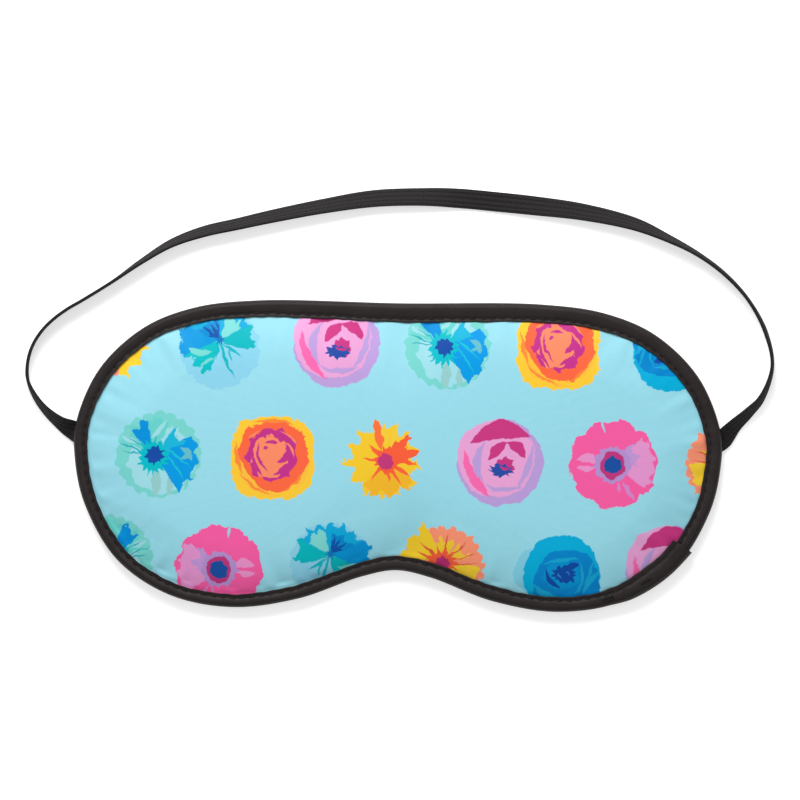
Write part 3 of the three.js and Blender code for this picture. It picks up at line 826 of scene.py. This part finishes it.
def block_rose(flower):
    """A squarish rose: yellow outside, orange strokes, then magenta, with a salmon heart."""
    flower.paint(flower.block(12.0), (255, 205, 56))
    flower.petals((255, 106, 66), 11.4, 7, 1.2, 0.2, 0.6, 0.99, 0.98)
    flower.brush((255, 196, 62), (-10.6, 1.4, -2.0, -10.4, 1.2, -1.6), (-8.8, -6.8, 3.6, -11.2, 0.7, -0.8),
                 (6.4, -9.0, 11.0, -0.6, 0.7, -0.8))
    flower.brush((255, 140, 60), (-9.6, -4.6, 0.0, -10.8, 0.4, -0.9), (-10.8, 4.6, -8.6, -5.2, 0.5, -0.5),
                 (3.0, -9.8, 9.6, -3.6, 0.35, -0.7), (-6.0, 10.4, 6.4, 9.8, 0.5, 0.8))
    flower.petals((198, 52, 140), 8.4, 9, 1.4, 0.0, 1.0, 0.98, 1.02)
    flower.petals((255, 142, 104), 6.9, 7, 1.5, -0.8, 0.2, 0.86, 1.06)
    flower.brush((198, 52, 140), (-5.6, 3.4, -2.4, -5.8, 0.55, -1.0), (-4.0, 4.4, -1.2, -4.2, 0.4, -1.2),
                 (-2.4, 4.6, 1.6, 4.4, 0.5, 0.3), (1.6, -1.6, 5.6, 3.6, 1.0, -0.6),
                 (0.2, -4.8, 4.6, -1.4, 0.6, -0.5), (-1.4, -6.2, 4.0, -4.2, 0.4, -0.7),
                 (-2.8, 2.6, -1.2, 3.4, 0.45))
    flower.brush((255, 142, 104), (3.4, 4.8, 6.6, 0.2, 0.35, 0.6), (2.4, 7.8, 7.4, 3.6, 0.3, 0.6),
                 (-6.8, 5.6, -3.6, 7.8, 0.3, 0.3))


def blue_rose(flower):
    """A blue rose: cyan outer petals, deeper blue folds edged with pale lines, and a navy
    heart with a crescent beside it."""
    flower.petals((132, 210, 233), 6.6, 5, 0.6, -7.8, 0.8, 1, 1.1)
    flower.petals((0, 176, 222), 12.2, 5, 0.8, 0.0, 0.2, 0.96, 1.0)
    flower.petals((0, 136, 208), 11.0, 5, 0.9, 1.6, -2.6, 0.93, 0.98)
    flower.brush((20, 168, 216), (9.6, 5.8, 6.4, -2.4, 0.35, 0.5), (10.8, 1.6, 6.6, -5.6, 1.0, -0.5),
                 (-8.6, -2.4, 1.0, -7.8, 0.9, -0.9), (-5.6, 3.2, 5.4, 4.8, 0.6, 0.5),
                 (5.2, 4.6, 4.0, -5.6, 0.5, 1.3))
    flower.petals((0, 150, 212), 5.2, 7, 0.7, 0.0, -0.2, 1.12, 0.86)
    flower.brush((12, 76, 166), (-4.4, 2.2, 0.2, -3.8, 0.75, -1.5), (0.4, 1.2, 5.0, 3.4, 0.9, 0.2))
    flower.petals((12, 76, 166), 3.4, 11, 1.1, 0.9, 0.3, 1.2, 0.88)
    flower.brush((60, 140, 210), (-0.9, 1.0, 0.1, -1.0, 0.2, -0.4), (1.2, 1.0, 2.2, -0.4, 0.2, 0.4))


def yellow_aster(flower):
    """Spiky yellow petals, orange-red rays on one side, magenta eye."""
    flower.petals((250, 206, 48), 12.6, 13, 4.4, -0.8, 0.3)
    flower.petals((250, 188, 44), 12.2, 11, 3.4, -0.8, 0.3, wedge=(-82, 50))
    flower.brush((255, 118, 62), (-1.4, 3.0, -3.4, 12.6, 1.3, -0.4))
    flower.petals((255, 98, 60), 11.2, 13, 4.6, wedge=(30, 36))
    flower.brush((250, 208, 60), (1.6, 4.0, 3.2, 11.6, 0.8), (0.2, 4.6, -0.8, 11.2, 0.8))
    flower.brush((255, 104, 60), (0, 0, 7.4, -4.2, 0.6), (0, 0, 5.0, -6.8, 0.5), (0, 0, 1.4, -6.0, 0.4),
                 (0, 0, -4.0, -5.6, 0.4), (0, 0, -6.6, 1.0, 0.5), (0, 0, -5.0, 5.0, 0.5))
    flower.petals((255, 96, 60), 4.8, 12, 1.8, 0.6, 0.4)
    flower.petals((198, 58, 122), 2.5, 6, 0.3)


def pink_anemone(flower):
    """Hot-pink notched petals, paler on one side, rings of lilac and crimson, navy eye."""
    flower.petals((250, 95, 166), 11.9, 10, -1.3, 0.0, 0.3)
    flower.brush((150, 218, 234), (-3.4, 13.4, -2.6, 9.4, 0.35))
    flower.petals((232, 152, 210), 12.9, 19, 1.6, wedge=(4, 40))
    flower.petals((196, 152, 216), 9.6, 13, 3.4, wedge=(26, 27))
    flower.brush((238, 150, 206), (-10.6, 1.4, -4.0, 1.0, 1.5, 0.9), (-10.8, -0.8, -5.0, -0.4, 0.8, -0.5))
    flower.brush((214, 140, 206), (3.0, -4.6, 6.4, -10.4, 0.6), (1.6, -5.0, 1.8, -8.0, 0.5))
    flower.petals((184, 148, 212), 5.9, 13, 1.0, -0.1, 0.2)
    flower.petals((196, 56, 126), 4.1, 5, 0.5, 0.0, 0.1, 0.96, 1.06)
    flower.petals((26, 80, 162), 2.8, 6, 0.35)


# Where each flower is printed, in millimetres, with the signs of its mirrorings if any.
FLOWERS = [
    (salmon_aster, [(13.6, -31.4), (96.3, -0.4, -1, 1), (-86.0, 32.8, -1, -1)]),
    (teal_cornflower, [(-19.4, -29.2), (-52.5, 33.0, -1, 1)]),
    (lilac_rose, [(-18.3, 32.4), (30.0, -1.6), (80.1, -32.1)]),
    (mint_poppy, [(13.2, 32.0), (-71.0, -0.9), (-82.8, -31.4, -1, 1)]),
    (block_rose, [(46.5, 32.1), (-36.7, -1.2)]),
    (blue_rose, [(48.4, -34.3), (79.5, 31.7, -1, -1)]),
    (yellow_aster, [(-3.6, -1.8)]),
    (pink_anemone, [(62.9, -1.8), (-51.9, -34.2, -1, 1)]),
]


def printed_satin():
    """The flowers, painted one after another on pale blue, over satin whose fine weave
    shows as a faint unevenness. All edges of the print wander a little, as brushwork."""
    finish = Finish("printed_satin", Specular_IOR_Level=0.08)
    place = finish.scaled(finish.coordinates("Object"), 1000.0)
    broad = finish.node("ShaderNodeSeparateColor", {}, {0: finish.noise(place, 0.42, 1.0, "Color")})
    fine = finish.node("ShaderNodeSeparateColor", {}, {0: finish.noise(place, 1.7, 1.0, "Color")})
    wander = finish.outputs(broad)[:2] + finish.outputs(fine)[:2]
    x, y, _ = finish.parts(place)
    x = x + (wander[0] - 0.5) * 1.5 + (wander[2] - 0.5) * 0.26
    y = y + (wander[1] - 0.5) * 1.5 + (wander[3] - 0.5) * 0.26
    grain = finish.noise(place, 0.5, 2.0)
    colour = finish.mix(grain, dye(152, 220, 236), dye(159, 224, 239))
    for paint, places in FLOWERS:
        flower = Flower(paint.__name__, places)
        paint(flower)
        flower.node("NodeGroupOutput", {}, {0: flower.colour}, None)
        colour = finish.node("ShaderNodeGroup", {"node_tree": flower.tree}, {0: x, 1: y, 2: grain, 3: colour})
    depth = finish.noise(place, 7.0, 2.0) * 0.1 + 0.95
    finish.feed("Base Color", finish.scaled(colour, depth))
    weave = finish.noise(finish.stretched(place, 9.0, 2.2, 1.0), 1.0, 2.0)
    finish.feed("Roughness", weave * 0.12 + 0.4)
    finish.feed("Normal", finish.bump(weave, 0.00005, 0.5))
    return finish.material


def skin(name, grid, height, upwards, settling=None):
    """One open sheet over the ply grid, closed at the pole, facing up or down."""
    arc, inset, share, x, y = ply_grid(*grid)
    points = np.stack([x, y, height(arc, inset, share, x, y)], -1)
    if settling:
        points += spread_move(*settling, len(arc), inset[0] + (1 - share[0]) * INNER_INSET)
    pole = (0, POLE_Y, points[:, -1, 2].mean())
    mesh = grid_mesh(name, points[None], wrap_rows=True, tips=[(-1, pole)])
    if (mesh.polygons[0].normal.z > 0) != upwards:
        mesh.flip_normals()
    return mesh


def settled(height):
    """How far the points of a ply over the padding move when its cloth settles: a little
    larger than its outline next to the seam, it gathers there, and the padding presses it
    out. What lies under the binding is held, and the move is capped. Solved on a coarse
    grid at 20 times the size, where the cloth's solver is steady. Gives the coarse grid's
    depths from the edge, and the moves."""
    arc, inset, share, x, y = ply_grid(*TRIAL_GRID)
    mesh = skin("trial", TRIAL_GRID, height, True)
    places = np.empty(len(mesh.vertices) * 3)
    mesh.vertices.foreach_get("co", places)
    mesh.vertices.foreach_set("co", places * SOLVER_SCALE)
    trial = bpy.data.objects.new("trial", mesh)
    bpy.context.scene.collection.objects.link(trial)
    held, gathered = (trial.vertex_groups.new(name=group) for group in ("held", "gathered"))
    for column, depth in enumerate(inset[0]):
        ring = list(range(column, arc.size, inset.shape[1]))
        held.add(ring, float(np.clip(1 - (depth - SEAM_INSET) / 0.001, 0, 1)), "REPLACE")
        gathered.add(ring, float(np.clip(1 - (depth - SEAM_INSET) / GATHER_REACH, 0, 1)), "REPLACE")
    cloth = trial.modifiers.new("cloth", "CLOTH")
    cloth.collision_settings.use_collision = False
    settings = cloth.settings
    settings.quality = 5
    settings.mass = 0.3
    settings.air_damping = 2.0
    settings.tension_stiffness = settings.compression_stiffness = 20
    settings.shear_stiffness = 6
    settings.bending_stiffness = 0.6
    settings.vertex_group_mass = "held"
    settings.vertex_group_shrink = "gathered"
    settings.shrink_min = -0.004
    settings.shrink_max = -GATHER
    settings.use_pressure = True
    settings.uniform_pressure_force = PADDING_PRESSURE
    settings.effector_weights.gravity = 0
    for number in range(1, SETTLING_FRAMES + 1):
        bpy.context.scene.frame_set(number)
    result = trial.evaluated_get(bpy.context.evaluated_depsgraph_get()).data
    moved = np.empty_like(places)
    result.vertices.foreach_get("co", moved)
    move = (moved / SOLVER_SCALE - places)[: arc.size * 3].reshape(*arc.shape, 3)
    length = np.linalg.norm(move, axis=-1, keepdims=True) / SETTLING_CAP
    bpy.data.objects.remove(trial)
    bpy.context.scene.frame_set(1)
    return inset[0] + (1 - share[0]) * INNER_INSET, move * np.tanh(length) / np.maximum(length, 1e-9)


def spread_move(depths, move, turns, fine_depths):
    """The coarse moves read off on a finer grid, and smoothed over a coarse step."""
    column = np.clip(np.searchsorted(depths, fine_depths) - 1, 0, len(depths) - 2)
    t = np.clip((fine_depths - depths[column]) / (depths[column + 1] - depths[column]), 0, 1)[None, :, None]
    fine = move[:, column] * (1 - t) + move[:, column + 1] * t
    every = turns // len(move)
    fine = np.repeat(fine, every, axis=0)
    for _ in range(3):
        fine = sum(np.roll(fine, k, axis=0) for k in range(-every // 2 + 1, every // 2 + 1)) / every
    fine[:, 1:-1] = fine[:, 1:-1] / 2 + (fine[:, :-2] + fine[:, 2:]) / 4
    return fine


def sheet_piece(name, node, mesh, thickness, finish, slot):
    """A sheet of cloth on the mask, given its thickness behind the face that shows."""
    made = piece(name, mesh, finish, slot, "mask", node)
    solid = made.modifiers.new("thickness", "SOLIDIFY")
    solid.thickness = thickness
    solid.offset = -1
    return made


settling = settled(front_height)
front_mesh = skin("front_satin", FRONT_GRID, front_height, True, settling)
sheet_piece("front_satin", "printed_front", front_mesh, FRONT_THICKNESS, printed_satin(), "printed_satin")

# ---------------------------------------------------------------------------------------
# Inside and back: a pad of soft foam with a blackout cloth behind it, and the lining of
# black satin that lies against the face. All are cut to the same outline as the front.
# ---------------------------------------------------------------------------------------

LINING_THICKNESS = 0.00035
BLACKOUT_THICKNESS = 0.00025
PLY_GAP = 0.00008
PAD_LEAST_THICKNESS = 0.0002
LINING_GRID = (480, 34, 22)
BLACKOUT_GRID = (180, 18, 10)
PAD_GRID = (320, 30, 16)
LINING_SHOULDER_FROM = 0.006
LINING_SHOULDER = 0.012
LINING_PUCKER = 0.00045
LINING_PUCKER_REACH = 0.005
LINING_CREASE = 0.0005
lining_edge = binding_bottom + TAPE_THICKNESS + 0.0001


def lining_height(arc, inset, share, x, y):
    """Height of the lining's outer face: under the binding's back leg at the edge, then a
    rounded shoulder down to the table, on which the middle lies flat. The seam gathers it
    and soft creases run in from it, all of them raised off the table."""
    shoulder = np.sin(math.pi / 2 * np.clip((inset - LINING_SHOULDER_FROM) / LINING_SHOULDER, 0, 1))
    pucker = 0.5 + 0.5 * waves(arc, (0.0087, 0.0059, 0.0043), 31)
    past_leg = inset - BACK_LEG_WIDTH
    fade = np.exp(-np.clip(past_leg, 0, None) / LINING_PUCKER_REACH)
    pucker = pucker * fade * np.clip(past_leg / 0.001, 0, 1)
    soft = np.abs(creases(x, y, 30, 41, 0.002, 0.026))
    inside = np.clip((inset - LINING_SHOULDER_FROM) / 0.002, 0, 1)
    return (lining_edge * (1 - shoulder) + LINING_PUCKER * pucker * share
            + LINING_CREASE * soft * inside)


def lining_satin():
    """Black satin: long floats one way, so it is smoother across than along."""
    finish = Finish("lining_satin", Sheen_Weight=0.15)
    place = finish.coordinates("Object")
    floats = finish.noise(finish.stretched(place, 9000, 1500, 1), 1.0, 2.0)
    wear = finish.noise(place, 60.0, 3.0)
    finish.feed("Base Color", finish.mix(wear * 0.5 + floats * 0.4, srgb(26, 24, 26), srgb(50, 47, 49)))
    finish.feed("Roughness", floats * 0.16 + 0.32)
    finish.feed("Normal", finish.bump(floats, 0.00005, 0.6))
    return finish.material


def blackout_cloth():
    """Matt black plain weave: two crossing sets of threads."""
    finish = Finish("blackout_cloth", Roughness=0.9)
    x, y, _ = finish.parts(finish.coordinates("Object"))
    cross = (x * (2 * math.pi / 0.0005)).sin() * (y * (2 * math.pi / 0.0005)).sin() * 0.5 + 0.5
    finish.feed("Base Color", finish.mix(cross, srgb(17, 17, 18), srgb(34, 34, 36)))
    finish.feed("Normal", finish.bump(cross, 0.0001, 0.8))
    return finish.material


def padding_foam():
    """Cream open-cell foam: small round pores of two sizes, each darker towards its sunk
    middle as painted shade.
    """
    finish = Finish("padding_foam", Roughness=0.95)
    place = finish.coordinates("Object")
    pores = finish.node("ShaderNodeTexVoronoi", {}, {"Vector": place, "Scale": 1600.0})
    large = finish.node("ShaderNodeTexVoronoi", {}, {"Vector": place, "Scale": 600.0})
    walls = pores * 0.6 + large * 0.7
    # Painted shade: the colour darkens towards each pore's middle, where the bump sinks it.
    finish.feed("Base Color", finish.mix(walls.clamped(), srgb(196, 184, 150), srgb(240, 232, 208)))
    finish.feed("Normal", finish.bump(walls, 0.0003, 0.8))
    return finish.material


def under_front(gap):
    """Height of a face that lies under the front by the gap, and by as much as the front
    may have settled."""
    return lambda *grid: front_height(*grid) - FRONT_THICKNESS - gap - np.clip(
        (grid[1] - SEAM_INSET) / 0.003, 0, 1) * SETTLING_CAP


def over_lining(gap):
    """Height of a face that lies over the lining by the gap."""
    return lambda *grid: lining_height(*grid) + LINING_THICKNESS + gap


lining_mesh = skin("lining", LINING_GRID, lining_height, False)
sheet_piece("lining", "back_lining", lining_mesh, LINING_THICKNESS, lining_satin(), "lining_satin")
blackout_mesh = skin("blackout_cloth", BLACKOUT_GRID, over_lining(PLY_GAP), False)
sheet_piece("blackout_cloth", "blackout_layer", blackout_mesh, BLACKOUT_THICKNESS, blackout_cloth(),
            "blackout_cloth")

pad_grid = ply_grid(*PAD_GRID)
pad_top = under_front(PLY_GAP)(*pad_grid)
pad_bottom = over_lining(BLACKOUT_THICKNESS + 2 * PLY_GAP)(*pad_grid)
pad_top = np.maximum(pad_top, pad_bottom + PAD_LEAST_THICKNESS)
pad_faces = [np.stack([pad_grid[3], pad_grid[4], z], -1) for z in (pad_bottom, pad_top)]
pad_points = np.concatenate([pad_faces[0][:, ::-1], pad_faces[1]], 1)
pad_poles = [(k, (0, POLE_Y, face[:, -1, 2].mean())) for k, face in ((0, pad_faces[0]), (-1, pad_faces[1]))]
foam = piece("padding", facing_out(grid_mesh("padding", pad_points[None], wrap_rows=True, tips=pad_poles)),
             padding_foam(), "padding_foam", "mask", "foam_pad")

# ---------------------------------------------------------------------------------------
# Sewing: black polyester thread. A lockstitch seam holds the binding, with the needle
# thread on the front and the bobbin thread on the back. To-and-fro stitches hold the lap
# and the strap's two ends.
# ---------------------------------------------------------------------------------------

THREAD_RADIUS = 0.000175
STITCH_LENGTH = 0.0024
STITCH_END_DROP = 0.00026
STITCH_OFF_LINE = 0.00004
STITCH_ASLANT = 0.00006
STITCH_SUNK = 0.00012
BACKTACK_LENGTH = 0.0034
BACKTACK_WIDTH = 0.0013
BACKTACK_PASSES = 7
BACKTACK_ABOVE = 0.00028
BARTACK_WIDTH = 0.0018
BARTACK_PASSES = 9
BARTACK_BELOW = 0.0001


def sewing_thread():
    """Black thread of three twisted strands, slightly glossy."""
    finish = Finish("sewing_thread", Roughness=0.5, Specular_IOR_Level=0.3)
    place = finish.coordinates("Object")
    x, y, _ = finish.parts(place)
    twist = ((x + y) * (2 * math.pi / 0.00035)).sin() * 0.5 + 0.5
    wear = finish.noise(place, 900.0)
    finish.feed("Base Color", finish.mix(twist * 0.5 + wear * 0.5, srgb(8, 8, 8), srgb(30, 27, 28)))
    finish.feed("Normal", finish.bump(twist, 0.00006, 0.8))
    return finish.material


def stitch_row(name, inset_at, height_at, side):
    """Stitches laid end to end along the seam. Each is a capsule whose ends bend down into
    the needle holes: radius by the square root of what is left to its end, height less the
    cube of the distance from its middle."""
    middle = ((np.arange(STITCHES) + 0.5) * stitch_step)[:, None, None]
    share = np.sin(np.linspace(-1, 1, 7) * math.pi / 2)[None, :, None] * 0.999
    turn = (np.arange(6) / 6 * 2 * math.pi)[None, None, :]
    rng = np.random.default_rng(5)
    off_line = rng.normal(0, STITCH_OFF_LINE, STITCHES)[:, None, None]
    skewed = off_line + share * rng.normal(0, STITCH_ASLANT, STITCHES)[:, None, None]
    length = STITCH_LENGTH * (1 + rng.normal(0, 0.03, STITCHES)[:, None, None])
    arc = middle + share * length / 2 + 0 * turn
    radius = THREAD_RADIUS * np.sqrt(1 - share ** 2)
    inset = inset_at(arc) + skewed + radius * np.cos(turn)
    raised = THREAD_RADIUS * 0.7 - STITCH_END_DROP * np.abs(share) ** 3
    height = height_at + side * raised + radius * np.sin(turn)
    points = np.stack([*edge_place(arc, inset), height + 0 * inset], -1)
    return facing_out(grid_mesh(name, points, wrap_columns=True, cap_rows=True))


def tube(name, path, radius):
    """Thread along a path: a circle square to the path in plan, with tapered ends."""
    heading = unit(np.gradient(path, axis=0))
    sideways = unit(np.stack([-heading[:, 1], heading[:, 0], np.zeros(len(path))], 1))
    upwards = np.cross(heading, sideways)
    turn = np.arange(8) / 8 * 2 * math.pi
    thin = radius * np.clip(np.minimum(np.arange(len(path)), np.arange(len(path))[::-1]) / 3 + 0.3, 0, 1)
    ring = (sideways[:, None] * np.cos(turn)[None, :, None] + upwards[:, None] * np.sin(turn)[None, :, None])
    points = path[:, None] + ring * thin[:, None, None]
    return facing_out(grid_mesh(name, points[None], wrap_columns=True, cap_rows=True))


def tack_path(middle, heading, length, width, passes, side):
    """To-and-fro stitches: a sine across the heading that also creeps along it, and rises
    where it crosses what it has sewn."""
    t = np.linspace(-1, 1, passes * 18)[:, None]
    sideways = np.array([-heading[1], heading[0], 0.0])
    swing = np.sin(t * passes * math.pi / 2) * width / 2
    lift = side * THREAD_RADIUS * 0.9 * np.cos(t * passes * math.pi)
    return middle + np.append(heading, 0.0) * t * length / 2 + sideways * swing + np.array([0, 0, 1.0]) * lift


thread = sewing_thread()
back_seam = BACK_LEG_WIDTH - SEAM_FROM_EDGE
needle_row = stitch_row("front_stitches", lambda arc: leg_width(arc) - SEAM_FROM_EDGE,
                        binding_top - STITCH_SUNK, 1)
piece("front_stitches", needle_row, thread, "sewing_thread", "mask", "seam_needle_thread")
bobbin_row = stitch_row("back_stitches", lambda arc: back_seam + 0 * arc,
                        binding_bottom + STITCH_SUNK, -1)
piece("back_stitches", bobbin_row, thread, "sewing_thread", "mask", "seam_bobbin_thread")
for name in ("backtack_inner", "backtack_middle"):
    low, high = (np.array(corner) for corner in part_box(name))
    middle = (low + high) / 2
    nearest = np.argmin(np.hypot(*(edge_points - middle[:2]).T))
    above = np.array([*middle[:2], binding_top + LAP_RISE + BACKTACK_ABOVE])
    path = tack_path(above, edge_heading[nearest], BACKTACK_LENGTH, BACKTACK_WIDTH, BACKTACK_PASSES, 1)
    piece("lap_" + name, tube(name, path, THREAD_RADIUS), thread, "sewing_thread", "mask", name)
for name, turn in (("strap_bartack_left", -STUB_SLOPE), ("strap_bartack_right", STUB_SLOPE)):
    low, high = (np.array(corner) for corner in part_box(name))
    heading = np.array([-math.sin(turn), math.cos(turn)])
    middle = (low + high) / 2
    below = np.array([*middle[:2], EXIT_HEIGHT - STRAP_THICKNESS / 2 - BARTACK_BELOW])
    path = tack_path(below, heading, STRAP_WIDTH * 0.86, BARTACK_WIDTH, BARTACK_PASSES, -1)
    piece("sewn_" + name, tube(name, path, THREAD_RADIUS), thread, "sewing_thread", "mask", name)

# ---------------------------------------------------------------------------------------
# Floor and soft studio light: a plain white light table, a large lamp beyond the brow, and
# even light from all round.
# ---------------------------------------------------------------------------------------

FLOOR_SIZE = 3.0
TABLE_GLOW = 0.5
LAMP_SIZE = 0.36
LAMP_PLACE = (-0.1, 0.46, 0.4)
LAMP_POWER = 4.4
ROOM_LIGHT = 0.5

table_top = Finish("table_top", Roughness=0.9, Emission_Color=(1, 1, 1, 1), Emission_Strength=TABLE_GLOW)
table_grain = table_top.noise(table_top.coordinates("Object"), 40.0)
table_top.feed("Base Color", table_top.mix(table_grain, srgb(236, 236, 236), srgb(242, 242, 242)))
corners = np.array([[-1, -1], [1, -1], [-1, 1], [1, 1]]) * FLOOR_SIZE / 2
floor_points = np.column_stack([corners, np.full(4, cad_box[0][2] - 0.0001)]).reshape(1, 2, 2, 3)
floor_mesh = grid_mesh("floor", floor_points)
if floor_mesh.polygons[0].normal.z < 0:
    floor_mesh.flip_normals()
table_top.material.cycles.emission_sampling = "NONE"
floor_mesh.materials.append(table_top.material)
floor = bpy.data.objects.new("floor", floor_mesh)
bpy.context.scene.collection.objects.link(floor)

lamp_data = bpy.data.lights.new("lamp", "AREA")
lamp_data.size = LAMP_SIZE
lamp_data.energy = LAMP_POWER
lamp = bpy.data.objects.new("lamp", lamp_data)
lamp.location = LAMP_PLACE
lamp.rotation_euler = (-lamp.location).to_track_quat("-Z", "Y").to_euler()
bpy.context.scene.collection.objects.link(lamp)

room = bpy.data.worlds.new("room")
room.use_nodes = True
room.node_tree.nodes["Background"].inputs["Color"].default_value = (1, 1, 1, 1)
room.node_tree.nodes["Background"].inputs["Strength"].default_value = ROOM_LIGHT
bpy.context.scene.world = room
